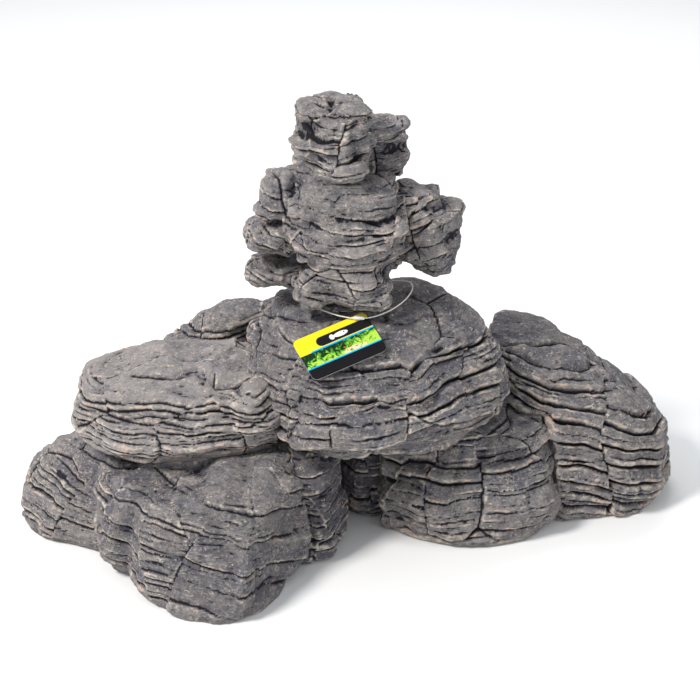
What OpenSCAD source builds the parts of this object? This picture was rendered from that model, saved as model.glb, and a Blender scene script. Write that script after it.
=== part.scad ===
// Cave ornament for an aquarium: cast resin stones stacked round a hollow, doweled and
// bonded with putty, with a swing tag looped round the neck of the spire.
// Millimetres. +Z up, +X to the right seen from the front, front towards -Y.
// The origin is on the ground, under the middle of the ornament.

/* [Stack] */
// Height of the ground stones' flat tops, where the roof is bonded on
ground_h = 72; // [70:1:74]
// Height of the roof slabs, if both were whole
roof_h = 86; // [84:1:90]
// Height of the stone at the foot of the spire
foot_h = 38; // [36:1:42]
// Height of the spire's body
body_h = 43; // [40:1:48]
// Height of the peak above the body
peak_h = 58; // [48:1:62]

/* [Castings] */
// Depth of the hollow cast into each large stone
core_h = 44; // [30:1:46]
// Share of a ground stone's outline that its hollow takes up
core_share = 0.5; // [0.35:0.01:0.52]
// Share of a roof slab's outline that its hollow takes up
roof_core_share = 0.4; // [0.3:0.01:0.42]
// Thickness of the plates that close the hollows
plate_t = 5; // [3:0.5:8]
// Clearance between a plate and its hollow, all round
plate_gap = 0.3; // [0.1:0.1:0.5]
// Diameter of the hole in each plate that lets water in and air out
vent_d = 8; // [5:0.5:12]

/* [Bonds] */
// Diameter of the dowels between stacked stones
dowel_d = 8; // [6:0.5:9]
// How far a dowel goes into each stone
dowel_reach = 12; // [8:1:14]
// Diameter of the pins between stones that stand side by side
pin_d = 5; // [3:0.5:5]
// How far a pin goes into each stone
pin_reach = 8; // [5:1:9]
// Radial clearance of a dowel or pin in its socket
dowel_gap = 0.05; // [0.02:0.01:0.1]
// Thickness of the putty between stacked stones
putty_t = 1.5; // [1:0.5:2]
// Diameter of a putty pad
putty_d = 20; // [16:1:22]
// Gap between stones that stand side by side, filled by a film of putty round each pin
side_gap = 0.6; // [0.4:0.1:1]
// Diameter of that film
film_d = 12; // [10:1:14]

/* [Swing tag] */
// Width of the card
tag_w = 54; // [46:1:56]
// Height of the card
tag_h = 34; // [28:1:36]
// Thickness of the card
tag_t = 0.6; // [0.4:0.1:0.8]
// Corner radius of the card
tag_r = 4; // [2:0.5:6]
// Slope that the card lies at
tag_slope = 31.5; // [31:0.5:32]
// Turn of the card on that slope
tag_turn = 27; // [24:1:30]
// Diameter of the clear nylon loop
loop_d = 0.9; // [0.7:0.1:1]
// Diameter of the barrel that holds the card on the loop
barrel_d = 2.6; // [2.4:0.1:3]
// Length of the barrel
barrel_l = 7; // [6:0.5:8]
// Diameter of the barrel's stem, which goes through the card
stem_d = 1.4; // [1.2:0.1:1.6]
// Radial clearance of the stem in the card and of the loop in the barrel
tag_gap = 0.08; // [0.05:0.01:0.1]

/* [Hidden] */

SIDES = 32;        // points round a stone
LOOP_SIDES = 8;    // points round the nylon loop
LOOP_STEPS = 3;    // rings of the nylon loop for each stretch of its route
BIG = 400;         // half the side of the cubes that trim the stones
ROUND_FN = 32;

roof_z = ground_h + putty_t;
roof_top_z = roof_z + roof_h;
foot_z = roof_top_z + putty_t;
body_z = foot_z + foot_h + putty_t;
peak_z = body_z + body_h + putty_t;

// ---- Heights of the stones that fill no whole storey ----
sill_h = 0.8 * ground_h;
right_end_h = 1.6 * ground_h;
knob_h = 0.7 * peak_h;
wing_z = foot_z + 12;
wing_h = 67;
low_fin_z = foot_z + 10;
low_fin_h = 20;
middle_fin_z = foot_z + 31.5;
middle_fin_h = 25;
shoulder_z = foot_z + 58;
shoulder_h = 34;

// ---- Outlines: [centre], [distance from it every 30 degrees, from +X towards +Y] ----
left_front_plan = [[-88, -50], [53, 58, 84, 84, 80, 60, 66, 64, 66, 76, 66, 57]];
left_end_plan = [[-165, 20], [62, 52, 36, 28, 34, 53, 71.5, 69, 57, 62, 76, 64]];
pillar_plan = [[-30, -20], [25, 28, 30, 33, 30, 28, 26, 28, 32, 36, 32, 27]];
sill_plan = [[9, 28], [19, 20, 18, 17, 18, 18, 14, 14, 15, 16, 18, 20]];
right_front_plan = [[84, 16], [62, 64, 46, 38, 40, 52, 70, 62, 52, 50, 53, 60]];
right_end_plan = [[184, 60], [52, 52, 50, 52, 58, 64, 70, 75, 61, 53, 54, 51]];
rear_left_plan = [[-116, 76], [80, 68, 48, 42, 48, 62, 70, 66, 50, 44, 50, 64]];
rear_right_plan = [[72, 95.5], [46, 42, 33, 30, 34, 42, 42, 36, 32, 31, 34, 42]];
left_roof_plan = [[-115, 10], [80, 72, 62, 56, 58, 66, 75, 73, 64, 58, 62, 75]];
right_roof_plan = [[20, 15], [90, 88, 70, 58, 62, 80, 90, 88, 80, 72, 69, 75]];
left_ridge_plan = [[-96, 88], [38, 34, 27, 25, 28, 36, 38, 36, 28, 26, 29, 36]];
lintel_plan = [[18, 93], [82, 60, 36, 30, 36, 60, 84, 58, 34, 29, 33, 56]];
foot_plan = [[-3, 32], [34, 35, 34, 34, 32, 30, 29, 31, 37, 40, 40, 37]];
body_plan = [[-3, 32], [38, 38, 36, 36, 36, 38, 42, 42, 42, 41, 41, 39]];
peak_plan = [[-12, 28], [28, 26, 25, 24, 24, 26, 28, 27, 26, 25, 26, 27]];
knob_plan = [[20, 52], [22, 22, 21, 20, 20, 21, 22, 21, 20, 20, 20, 21]];
wing_plan = [[53, 46], [25, 25, 27, 29, 28, 28, 28, 28, 27, 27, 25, 24]];
low_fin_plan = [[-50, 30], [22, 22, 24, 26, 23, 21, 21, 20, 21, 23, 22, 22]];
middle_fin_plan = [[-50, 30], [22, 23, 25, 27, 24, 21, 20, 20, 21, 23, 22, 22]];
shoulder_plan = [[-45, 35], [20, 22, 24, 25, 23, 20, 19, 19, 20, 21, 20, 20]];

// ---- Rings, from the bottom up: [share of the height, scale in X, scale in Y, shift in X,
// shift in Y, slope along X, slope along Y]; what is left out is 0 ----
left_front_rings = [[0, 0.95, 0.95], [0.1, 1, 1], [0.45, 1, 0.99, 0, 2], [0.68, 0.99, 0.93, 0, 6],
    [0.84, 0.97, 0.8, 0, 12], [0.94, 0.94, 0.64, 0, 20], [1, 0.9, 0.5, 0, 30]];
left_end_rings = [[0, 0.95, 0.95], [0.12, 1, 1], [0.38, 0.92, 0.97, 1], [0.55, 0.86, 0.9, 3],
    [0.72, 0.74, 0.82, 7], [0.84, 0.6, 0.7, 12], [0.93, 0.5, 0.6, 15], [1, 0.4, 0.45, 18]];
pillar_rings = [[0, 0.84, 0.88], [0.12, 1, 1], [0.34, 1.02, 1], [0.52, 0.93, 0.9, 0, 2],
    [0.74, 0.92, 0.86, -1, 4], [1, 0.95, 0.84, 0, 6]];
sill_rings = [[0, 0.96, 0.96], [0.3, 1.03, 1], [0.66, 1, 0.97], [0.84, 0.94, 0.9, -1, 1, -0.2],
    [0.92, 0.7, 0.64, -3, 3, -0.3]];
right_front_rings = [[0, 0.94, 0.94], [0.1, 1, 1], [0.36, 1.01, 0.99], [0.56, 0.99, 0.93, 0, 3],
    [0.76, 0.96, 0.82, 0, 6], [0.91, 0.91, 0.7, 0, 9], [1, 0.84, 0.6, 0, 12]];
right_end_rings = [[0, 0.92, 0.92, -2, 1], [0.1, 1, 0.99], [0.22, 1, 1, 0, 0, -0.04],
    [0.36, 1, 0.98, 0, 2, -0.1], [0.5, 0.97, 0.93, -3, 5, -0.16], [0.64, 0.88, 0.84, -11, 11, -0.2],
    [0.78, 0.76, 0.7, -26, 17, -0.22], [0.9, 0.62, 0.58, -43, 23, -0.2],
    [0.99, 0.42, 0.38, -54, 28, -0.18]];
rear_left_rings = [[0, 0.94, 0.94], [0.12, 1, 1], [0.5, 1, 1], [0.8, 0.97, 0.94], [1, 0.92, 0.86]];
rear_right_rings = [[0, 0.94, 0.94], [0.12, 1, 1], [0.5, 1.02, 1], [0.8, 0.97, 0.95],
    [1, 0.88, 0.88]];
left_roof_rings = [[0, 0.82, 0.8], [0.06, 0.96, 0.96], [0.15, 1, 1], [0.3, 0.98, 0.97, 0, 2],
    [0.39, 0.95, 0.9, 1, 3], [0.46, 0.92, 0.82, 1, 4], [0.51, 0.87, 0.68, 1, 6],
    [0.55, 0.74, 0.5, 3, 10], [0.575, 0.4, 0.28, 4, 14]];
right_roof_rings = [[0, 0.78, 0.74, 0, 3], [0.1, 0.92, 0.86, 0, 3], [0.17, 1, 0.98],
    [0.36, 0.98, 1, 0, 2], [0.5, 0.94, 0.96, 0, 2], [0.62, 0.91, 0.88, -2, 5],
    [0.74, 0.88, 0.74, -4, 9], [0.88, 0.8, 0.55, -9, 15], [1, 0.64, 0.42, -12, 23]];
left_ridge_rings = [[0, 0.92, 0.92], [0.22, 1, 1], [0.42, 0.98, 0.96, 0, 0, 0.2],
    [0.52, 0.92, 0.86, 0, 0, 0.36], [0.6, 0.6, 0.5, 2, 0, 0.4]];
lintel_rings = [[0, 0.94, 0.92], [0.14, 1, 1], [0.3, 0.98, 0.96], [0.46, 0.97, 0.95, -2, 0, -0.06],
    [0.6, 0.9, 0.84, -6, 0, -0.1], [0.7, 0.66, 0.56, -12, 0, -0.12]];
foot_rings = [[0, 0.62, 0.6, 1, 3], [0.13, 0.64, 0.62, 1, 3], [0.18, 0.88, 0.86, 0, 1],
    [0.25, 0.98, 0.98], [0.5, 0.94, 0.95], [0.66, 1, 1], [0.78, 0.98, 0.96], [1, 1.04, 1]];
body_rings = [[0, 1, 0.98], [0.14, 1.03, 1.02], [0.26, 0.97, 0.97], [0.44, 1.02, 1.01],
    [0.54, 0.97, 0.96, 0, 1], [0.74, 0.98, 0.93, 0, 2], [0.86, 0.93, 0.88, 1, 3],
    [1, 0.86, 0.84, 1, 4]];
peak_rings = [[0, 0.9, 0.86, -2, 0], [0.14, 0.86, 0.84, -2, 0], [0.28, 0.92, 0.9, -2, 0],
    [0.42, 1, 1.02, -1, 0], [0.56, 0.98, 1, -1, 0], [0.65, 0.88, 0.86, 0, 1],
    [0.74, 0.97, 0.93, 1, 2], [0.86, 0.98, 0.86, 2, 4], [0.95, 0.8, 0.66, 2, 7],
    [1, 0.5, 0.36, 2, 11]];
knob_rings = [[0, 0.84, 0.84], [0.2, 0.88, 0.88], [0.34, 0.98, 0.96], [0.44, 0.92, 0.92],
    [0.56, 1.02, 1], [0.82, 0.95, 0.93], [0.94, 0.7, 0.68, -2, 1], [1, 0.4, 0.4, -3, 2]];
wing_rings = [[0, 0.5, 0.5, 7], [0.1, 0.72, 0.72, 5], [0.22, 0.96, 0.94, 1], [0.33, 0.99, 0.98],
    [0.4, 0.93, 0.93], [0.56, 1, 1], [0.74, 0.9, 0.9, -5], [0.9, 0.72, 0.72, -10],
    [1, 0.44, 0.44, -13]];
low_fin_rings = [[0, 0.5, 0.5, 4], [0.28, 0.86, 0.86], [0.55, 1, 1], [0.82, 0.92, 0.9, 1],
    [1, 0.66, 0.64, 4]];
middle_fin_rings = [[0, 0.55, 0.55, 5], [0.2, 0.85, 0.85, 1], [0.42, 1, 1], [0.7, 0.93, 0.93, 1],
    [1, 0.78, 0.76, 4]];
shoulder_rings = [[0, 0.7, 0.7, 2], [0.16, 0.96, 0.96], [0.32, 1, 1], [0.46, 0.86, 0.88, 1],
    [0.7, 0.84, 0.84, 2], [0.9, 0.68, 0.66, 4], [1, 0.42, 0.4, 5]];

// ---- Planes between stones that stand side by side: [point, direction that is cut away] ----
left_end_joint = [[-150, -55], 145];
pillar_joint = [[-34, -50], 10];
rear_left_joint = [[-112, 30], 90];
sill_joint = [[24, 24], 0];
right_end_joint = [[140, 40], 25];
roof_joint = [[-62, 0], 0];
left_ridge_joint = [[-96, 64], 90];
ridge_joint = [[-66, 88], 0];
lintel_joint = [[18, 68], 90];
low_fin_joint = [[-33, 26], 180];
fin_joint = [[-41, 28], 180];
wing_joint = [[33, 46], 0];
knob_joint = [[4, 40], 37];

// ---- How far the hollows of the end stones sit from the middle of their plans ----
left_end_core = [-5, -12];
right_end_core = [8, 4];

// ---- Dowels, as [x, y] ----
left_roof_dowels = [[-92, -24], [-158, 10], [-122, 43]];
right_roof_dowels = [[-28, -18], [70, 15]];
ridge_dowels = [[-96, 90], [-54, 86], [64, 94]];
all_roof_dowels = concat(left_roof_dowels, right_roof_dowels, ridge_dowels);
foot_dowel = [2, 34];
body_dowel = [-3, 32];
peak_dowel = [-14, 26];
knob_dowel = [18, 54];

// ---- Pins, as [x, y, z, direction] ----
fin_pins = [[-33, 26, foot_z + 20, 180], [-41, 28, body_z + 7, 180],
    [-41, 32, body_z + 30, 180]];
wing_pins = [[33, 46, body_z + 10, 0], [33, 46, body_z + 28, 0]];
right_end_pin = on_joint(right_end_joint, 2.2);
ground_pins = [[24, 26, 26, 0], concat(right_end_pin, [26, right_end_joint[1]]),
    concat(right_end_pin, [52, right_end_joint[1]])];
all_pins = concat(ground_pins, fin_pins, wing_pins);

// ---- Tag: the middle of the punched hole is the origin of the tag's own frame ----
tag_hole = [6, 2, roof_top_z - 3.1];
hole_from_end = 6;
hole_from_top = 4;
card_play = 0.3;                // gap between the card and the heads of its stem
card_lift = 1.2;                // from the slope up to the card's underside
stem_head_t = 0.4;
stem_head_d = 3.4;
barrel_z = card_lift + tag_t + card_play + barrel_d / 2;
loop_straight = barrel_l + 4;   // stretch of the loop that the barrel turns on
barrel_axis = tag_hole + barrel_z * [0, -sin(tag_slope), cos(tag_slope)];

// Hollow in the roof's crest, under the front of the spire, as [y, height above the roof]
crest_hollow = [7, 4];
crest_hollow_r = 9;
crest_hollow_l = 52;

// Route of the nylon loop round the neck of the spire, from the left end of its straight
// stretch, as [x, y, height above the roof]
loop_route = [[-8, 1.5, 1.1], [-15, 5, 2.1], [-22, 12, 1.9], [-27, 22, 1.3], [-28, 34, 1],
    [-25, 46, 1], [-17, 56, 1], [-5, 61, 1], [10, 60, 1.5], [24, 55, 3.5], [35, 46, 7.5],
    [41, 34, 11.5], [42, 22, 11.5], [37, 11, 8.5], [28, 4, 4.5], [19, 1, 1.5]];

resin = [0.36, 0.36, 0.38];
raw_resin = [0.62, 0.6, 0.57];
putty = [0.5, 0.48, 0.46];
nylon = [0.9, 0.9, 0.88];

// Point on a joint plane, a distance along it from the point that it is given by
function on_joint(joint, along) = joint[0] + along * [-sin(joint[1]), cos(joint[1])];

// ---- Stones ----
function pick(list, i) = list[(i % len(list) + len(list)) % len(list)];

// Catmull-Rom curve from b to c, between neighbours a and d, read at f from 0 to 1
function curve(a, b, c, d, f) =
    0.5 * (2 * b + (c - a) * f + (2 * a - 5 * b + 4 * c - d) * f ^ 2 + (3 * b - a - 3 * c + d) * f ^ 3);

// Smooth closed curve through evenly spaced values, read at t
function smooth(list, t) =
    let (i = floor(t))
    curve(pick(list, i - 1), pick(list, i), pick(list, i + 1), pick(list, i + 2), t - i);

function term(ring, i) = len(ring) > i ? ring[i] : 0;

// Points round a plan, at evenly spaced angles
function spokes(plan, inset = 0) =
    [for (i = [0:SIDES - 1])
        let (a = i * 360 / SIDES, r = smooth(plan[1], i * len(plan[1]) / SIDES) - inset)
            [r * cos(a), r * sin(a)]];

// Uneven weathering, in millimetres, so that no two rings are alike
function weather(i, z) = 0.6 * sin(i * 34 + 7 * z) + 0.5 * sin(i * 56 - 11 * z);

function ring_points(plan, ring, z, h) =
    let (middle = plan[0] + [term(ring, 3), term(ring, 4)], all = spokes(plan))
    [for (i = [0:SIDES - 1])
        let (s = all[i] * (1 + weather(i, ring[0] * h) / norm(all[i])),
            p = [s[0] * ring[1], s[1] * ring[2]],
            tilt = term(ring, 5) * p[0] + term(ring, 6) * p[1])
                [middle[0] + p[0], middle[1] + p[1], z + h * ring[0] + tilt]];

function side_faces(rings, sides) =
    [for (j = [0:rings - 2], i = [0:sides - 1])
        let (k = (i + 1) % sides, a = j * sides + i, b = j * sides + k)
            each [[a, a + sides, b + sides], [a, b + sides, b]]];

function sum(list) = [for (v = list) 1] * list;

// A stone: rings of one plan, scaled, shifted and sloped as it rises from z through h
module stone(plan, rings, z, h) {
    shells = [for (ring = rings) ring_points(plan, ring, z, h)];
    last = len(rings) - 1;
    ends = [sum(shells[0]) / SIDES, sum(shells[last]) / SIDES];
    low = len(rings) * SIDES;
    caps = [for (i = [0:SIDES - 1])
        let (k = (i + 1) % SIDES)
            each [[low, i, k], [low + 1, last * SIDES + k, last * SIDES + i]]];
    polyhedron(concat([for (shell = shells) each shell], ends),
        concat(side_faces(len(rings), SIDES), caps));
}

// Everything on one side of a joint plane; turn = 180 takes the other side
module beyond(joint, turn = 0, from = -BIG, to = BIG) {
    translate([joint[0][0], joint[0][1], from]) rotate(joint[1] + turn)
        translate([-side_gap / 2, -BIG, 0]) cube([2 * BIG, 2 * BIG, to - from]);
}

module core(plan, share, z, shift = [0, 0]) {
    translate([plan[0][0] + shift[0], plan[0][1] + shift[1], z - 1])
        linear_extrude(core_h + 1) polygon(share * spokes(plan));
}

module plate(plan, share, z, shift = [0, 0]) {
    color(raw_resin) translate([plan[0][0] + shift[0], plan[0][1] + shift[1], z]) difference() {
        linear_extrude(plate_t) polygon(share * spokes(plan, plate_gap / share));
        translate([0, 0, -1]) cylinder(d = vent_d, h = plate_t + 2, $fn = ROUND_FN);
    }
}

module dowel_holes(places, z) {
    for (p = places) translate([p[0], p[1], z - dowel_reach - 0.5])
        cylinder(d = dowel_d + 2 * dowel_gap, h = 2 * dowel_reach + 1, $fn = ROUND_FN);
}

module dowels(places, z) {
    for (p = places) translate([p[0], p[1], z - dowel_reach])
        cylinder(d = dowel_d, h = 2 * dowel_reach + putty_t, $fn = ROUND_FN);
}

module pads(places, z) {
    for (p = places) translate([p[0], p[1], z]) difference() {
        cylinder(d = putty_d, h = putty_t, $fn = ROUND_FN);
        translate([0, 0, -1]) cylinder(d = dowel_d + 2 * dowel_gap, h = putty_t + 2, $fn = ROUND_FN);
    }
}

// A level rod through a joint, half its length on each side
module level_rod(pin, d, l) {
    translate([pin[0], pin[1], pin[2]]) rotate(pin[3]) rotate([0, 90, 0])
        cylinder(d = d, h = l, center = true, $fn = ROUND_FN);
}

module pin_holes(pins) {
    for (pin = pins) level_rod(pin, pin_d + 2 * dowel_gap, 2 * pin_reach + 1);
}

// ---- Ground stones ----
module left_front_stone() {
    color(resin) difference() {
        stone(left_front_plan, left_front_rings, 0, ground_h);
        core(left_front_plan, core_share, 0);
        beyond(pillar_joint);
        beyond(left_end_joint);
        beyond(rear_left_joint);
        dowel_holes([left_roof_dowels[0]], ground_h);
    }
}

module left_end_stone() {
    color(resin) difference() {
        stone(left_end_plan, left_end_rings, 0, ground_h);
        core(left_end_plan, core_share, 0, left_end_core);
        beyond(left_end_joint, 180);
        beyond(rear_left_joint);
        dowel_holes([left_roof_dowels[1]], ground_h);
    }
}

module cave_pillar_stone() {
    color(resin) difference() {
        stone(pillar_plan, pillar_rings, 0, ground_h);
        beyond(pillar_joint, 180);
        dowel_holes([right_roof_dowels[0]], ground_h);
    }
}

module cave_sill_stone() {
    color(resin) difference() {
        stone(sill_plan, sill_rings, 0, sill_h);
        beyond(sill_joint);
        pin_holes([ground_pins[0]]);
    }
}

module right_front_stone() {
    color(resin) difference() {
        stone(right_front_plan, right_front_rings, 0, ground_h);
        core(right_front_plan, core_share, 0);
        beyond(sill_joint, 180);
        beyond(right_end_joint);
        dowel_holes([right_roof_dowels[1]], ground_h);
        pin_holes(ground_pins);
    }
}

module right_end_stone() {
    color(resin) difference() {
        stone(right_end_plan, right_end_rings, 0, right_end_h);
        core(right_end_plan, core_share, 0, right_end_core);
        beyond(right_end_joint, 180, -1, roof_z);
        pin_holes(ground_pins);
    }
}

module rear_left_stone() {
    color(resin) difference() {
        stone(rear_left_plan, rear_left_rings, 0, ground_h);
        core(rear_left_plan, core_share, 0);
        beyond(rear_left_joint, 180);
        dowel_holes([left_roof_dowels[2], ridge_dowels[0], ridge_dowels[1]], ground_h);
    }
}

module rear_right_stone() {
    color(resin) difference() {
        stone(rear_right_plan, rear_right_rings, 0, ground_h);
        dowel_holes([ridge_dowels[2]], ground_h);
    }
}

// ---- Roof ----
module left_roof_slab() {
    color(resin) difference() {
        stone(left_roof_plan, left_roof_rings, roof_z, roof_h);
        core(left_roof_plan, roof_core_share, roof_z);
        beyond(roof_joint);
        beyond(left_ridge_joint);
        dowel_holes(left_roof_dowels, roof_z);
    }
}

module right_roof_slab() {
    color(resin) difference() {
        stone(right_roof_plan, right_roof_rings, roof_z, roof_h);
        core(right_roof_plan, roof_core_share, roof_z);
        translate([0, crest_hollow[0], roof_top_z + crest_hollow[1]]) rotate([0, 90, 0])
            cylinder(r = crest_hollow_r, h = crest_hollow_l, center = true, $fn = ROUND_FN);
        beyond(roof_joint, 180);
        beyond(lintel_joint);
        dowel_holes(right_roof_dowels, roof_z);
        dowel_holes([foot_dowel], roof_top_z);
    }
}

module rear_left_ridge_stone() {
    color(resin) difference() {
        stone(left_ridge_plan, left_ridge_rings, roof_z, roof_h);
        beyond(left_ridge_joint, 180);
        beyond(ridge_joint);
        dowel_holes([ridge_dowels[0]], roof_z);
    }
}

module rear_lintel_stone() {
    color(resin) difference() {
        stone(lintel_plan, lintel_rings, roof_z, roof_h);
        beyond(lintel_joint, 180);
        beyond(ridge_joint, 180);
        dowel_holes([ridge_dowels[1], ridge_dowels[2]], roof_z);
    }
}

// ---- Spire ----
module spire_foot_stone() {
    color(resin) difference() {
        stone(foot_plan, foot_rings, foot_z, foot_h);
        beyond(low_fin_joint);
        beyond(wing_joint);
        dowel_holes([foot_dowel], foot_z);
        dowel_holes([body_dowel], foot_z + foot_h);
        pin_holes([fin_pins[0]]);
    }
}

module spire_body_stone() {
    color(resin) difference() {
        stone(body_plan, body_rings, body_z, body_h);
        beyond(fin_joint);
        beyond(wing_joint);
        dowel_holes([body_dowel], body_z);
        dowel_holes([peak_dowel, knob_dowel], body_z + body_h);
        pin_holes(fin_pins);
        pin_holes(wing_pins);
    }
}

module spire_peak_stone() {
    color(resin) difference() {
        stone(peak_plan, peak_rings, peak_z, peak_h);
        beyond(knob_joint);
        dowel_holes([peak_dowel], peak_z);
    }
}

module spire_rear_knob() {
    color(resin) difference() {
        stone(knob_plan, knob_rings, peak_z, knob_h);
        beyond(knob_joint, 180);
        dowel_holes([knob_dowel], peak_z);
    }
}

module spire_right_wing() {
    color(resin) difference() {
        stone(wing_plan, wing_rings, wing_z, wing_h);
        beyond(wing_joint, 180);
        pin_holes(wing_pins);
    }
}

module spire_low_fin() {
    color(resin) difference() {
        stone(low_fin_plan, low_fin_rings, low_fin_z, low_fin_h);
        beyond(low_fin_joint, 180);
        pin_holes(fin_pins);
    }
}

module spire_middle_fin() {
    color(resin) difference() {
        stone(middle_fin_plan, middle_fin_rings, middle_fin_z, middle_fin_h);
        beyond(fin_joint, 180);
        pin_holes(fin_pins);
    }
}

module spire_shoulder() {
    color(resin) difference() {
        stone(shoulder_plan, shoulder_rings, shoulder_z, shoulder_h);
        beyond(fin_joint, 180);
        pin_holes(fin_pins);
    }
}

// ---- Plates that close the hollows ----
module left_front_base_plate() plate(left_front_plan, core_share, 0);

module left_end_base_plate() plate(left_end_plan, core_share, 0, left_end_core);

module right_front_base_plate() plate(right_front_plan, core_share, 0);

module right_end_base_plate() plate(right_end_plan, core_share, 0, right_end_core);

module rear_left_base_plate() plate(rear_left_plan, core_share, 0);

module left_roof_plate() plate(left_roof_plan, roof_core_share, roof_z);

module right_roof_plate() plate(right_roof_plan, roof_core_share, roof_z);

// ---- Dowels, pins and putty ----
module ground_dowels() {
    color(raw_resin) dowels(all_roof_dowels, ground_h);
}

module spire_dowels() {
    color(raw_resin) {
        dowels([foot_dowel], roof_top_z);
        dowels([body_dowel], foot_z + foot_h);
        dowels([peak_dowel, knob_dowel], body_z + body_h);
    }
}

module side_pins() {
    color(raw_resin) for (pin = all_pins) level_rod(pin, pin_d, 2 * pin_reach);
}

module ground_putty() {
    color(putty) pads(all_roof_dowels, ground_h);
}

module spire_putty() {
    color(putty) {
        pads([foot_dowel], roof_top_z);
        pads([body_dowel], foot_z + foot_h);
        pads([peak_dowel, knob_dowel], body_z + body_h);
    }
}

module side_putty() {
    color(putty) difference() {
        for (pin = all_pins) level_rod(pin, film_d, side_gap);
        pin_holes(all_pins);
    }
}

// ---- Swing tag ----
module on_slope() {
    translate(tag_hole) rotate([tag_slope, 0, 0]) children();
}

module card_outline() {
    low = [hole_from_end - tag_w, hole_from_top - tag_h];
    translate([low[0] + tag_r, low[1]]) square([tag_w - 2 * tag_r, tag_h]);
    translate([low[0], low[1] + tag_r]) square([tag_w, tag_h - 2 * tag_r]);
    for (x = [tag_r, tag_w - tag_r], y = [tag_r, tag_h - tag_r])
        translate([low[0] + x, low[1] + y]) circle(r = tag_r, $fn = ROUND_FN);
}

module tag_card() {
    color("gold") on_slope() rotate(tag_turn) translate([0, 0, card_lift])
        linear_extrude(tag_t) difference() {
            card_outline();
            circle(d = stem_d + 2 * tag_gap, $fn = ROUND_FN);
        }
}

// Barrel on the loop, with a stem that goes through the card and a head under it
module tag_barrel() {
    head_z = card_lift - card_play - stem_head_t;
    color(nylon) on_slope() difference() {
        union() {
            translate([0, 0, head_z]) cylinder(d = stem_head_d, h = stem_head_t, $fn = ROUND_FN);
            translate([0, 0, head_z]) cylinder(d = stem_d, h = barrel_z - head_z, $fn = ROUND_FN);
            translate([0, 0, barrel_z]) rotate([0, 90, 0])
                cylinder(d = barrel_d, h = barrel_l, center = true, $fn = ROUND_FN);
        }
        translate([0, 0, barrel_z]) rotate([0, 90, 0])
            cylinder(d = loop_d + 2 * tag_gap, h = barrel_l + 2, center = true, $fn = ROUND_FN);
    }
}

// Smooth open curve through points, read at t
function along(points, t) =
    let (last = len(points) - 1, i = min(floor(t), last - 1))
    curve(points[max(i - 1, 0)], points[i], points[i + 1], points[min(i + 2, last)], t - i);

function unit(v) = v / norm(v);

// A tube along the points: the straight stretch that the barrel turns on, and the way round the neck
module tag_loop() {
    half = [loop_straight / 2, 0, 0];
    round_neck = [for (p = loop_route) p + [0, 0, roof_top_z]];
    route = concat([barrel_axis - half], round_neck, [barrel_axis + half]);
    steps = (len(route) - 1) * LOOP_STEPS;
    middles = [for (k = [0:steps]) along(route, k / LOOP_STEPS)];
    ways = [for (k = [0:steps]) unit(middles[min(k + 1, steps)] - middles[max(k - 1, 0)])];
    rings = [for (k = [0:steps])
        let (way = k == 0 || k == steps ? [-1, 0, 0] : ways[k],
            side = unit(cross(way, [0, 0, 1])),
            up = cross(way, side))
            for (i = [0:LOOP_SIDES - 1])
                let (a = i * 360 / LOOP_SIDES)
                    middles[k] + loop_d / 2 * (cos(a) * side + sin(a) * up)];
    last = steps * LOOP_SIDES;
    caps = [[for (i = [0:LOOP_SIDES - 1]) i],
        [for (i = [0:LOOP_SIDES - 1]) last + LOOP_SIDES - 1 - i]];
    color(nylon) union() {
        translate(barrel_axis) rotate([0, 90, 0])
            cylinder(d = loop_d, h = loop_straight, center = true, $fn = ROUND_FN);
        polyhedron(rings, concat(side_faces(steps + 1, LOOP_SIDES), caps));
    }
}

left_front_stone();
left_end_stone();
cave_pillar_stone();
cave_sill_stone();
right_front_stone();
right_end_stone();
rear_left_stone();
rear_right_stone();
left_roof_slab();
right_roof_slab();
rear_left_ridge_stone();
rear_lintel_stone();
spire_foot_stone();
spire_body_stone();
spire_peak_stone();
spire_rear_knob();
spire_right_wing();
spire_low_fin();
spire_middle_fin();
spire_shoulder();
left_front_base_plate();
left_end_base_plate();
right_front_base_plate();
right_end_base_plate();
rear_left_base_plate();
left_roof_plate();
right_roof_plate();
ground_dowels();
spire_dowels();
side_pins();
ground_putty();
spire_putty();
side_putty();
tag_card();
tag_barrel();
tag_loop();
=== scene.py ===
"""Looks of the cave ornament: each CAD stone is remeshed and carved into layered, cracked rock."""
import math

import bmesh
import bpy
import numpy as np
from mathutils import Matrix, Vector
from mathutils.bvhtree import BVHTree


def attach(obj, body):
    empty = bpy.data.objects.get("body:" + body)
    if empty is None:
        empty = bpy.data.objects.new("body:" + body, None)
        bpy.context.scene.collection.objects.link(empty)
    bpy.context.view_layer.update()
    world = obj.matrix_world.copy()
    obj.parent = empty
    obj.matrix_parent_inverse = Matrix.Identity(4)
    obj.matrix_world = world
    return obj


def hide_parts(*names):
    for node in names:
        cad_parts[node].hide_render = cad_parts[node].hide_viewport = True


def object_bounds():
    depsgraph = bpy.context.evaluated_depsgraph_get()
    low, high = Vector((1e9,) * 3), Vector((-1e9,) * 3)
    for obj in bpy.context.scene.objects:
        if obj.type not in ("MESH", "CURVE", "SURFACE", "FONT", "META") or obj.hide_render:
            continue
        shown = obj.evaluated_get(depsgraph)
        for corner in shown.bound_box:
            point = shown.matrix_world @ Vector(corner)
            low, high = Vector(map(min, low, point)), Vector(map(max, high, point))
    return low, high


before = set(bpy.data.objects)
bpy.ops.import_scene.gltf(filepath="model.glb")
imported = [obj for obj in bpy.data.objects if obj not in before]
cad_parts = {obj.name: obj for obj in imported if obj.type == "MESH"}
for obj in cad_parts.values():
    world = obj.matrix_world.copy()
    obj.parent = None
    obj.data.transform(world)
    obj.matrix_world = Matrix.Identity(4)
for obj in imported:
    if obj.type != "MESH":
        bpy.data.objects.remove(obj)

CAD_LOW, CAD_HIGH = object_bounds()
MM = 0.001
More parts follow.
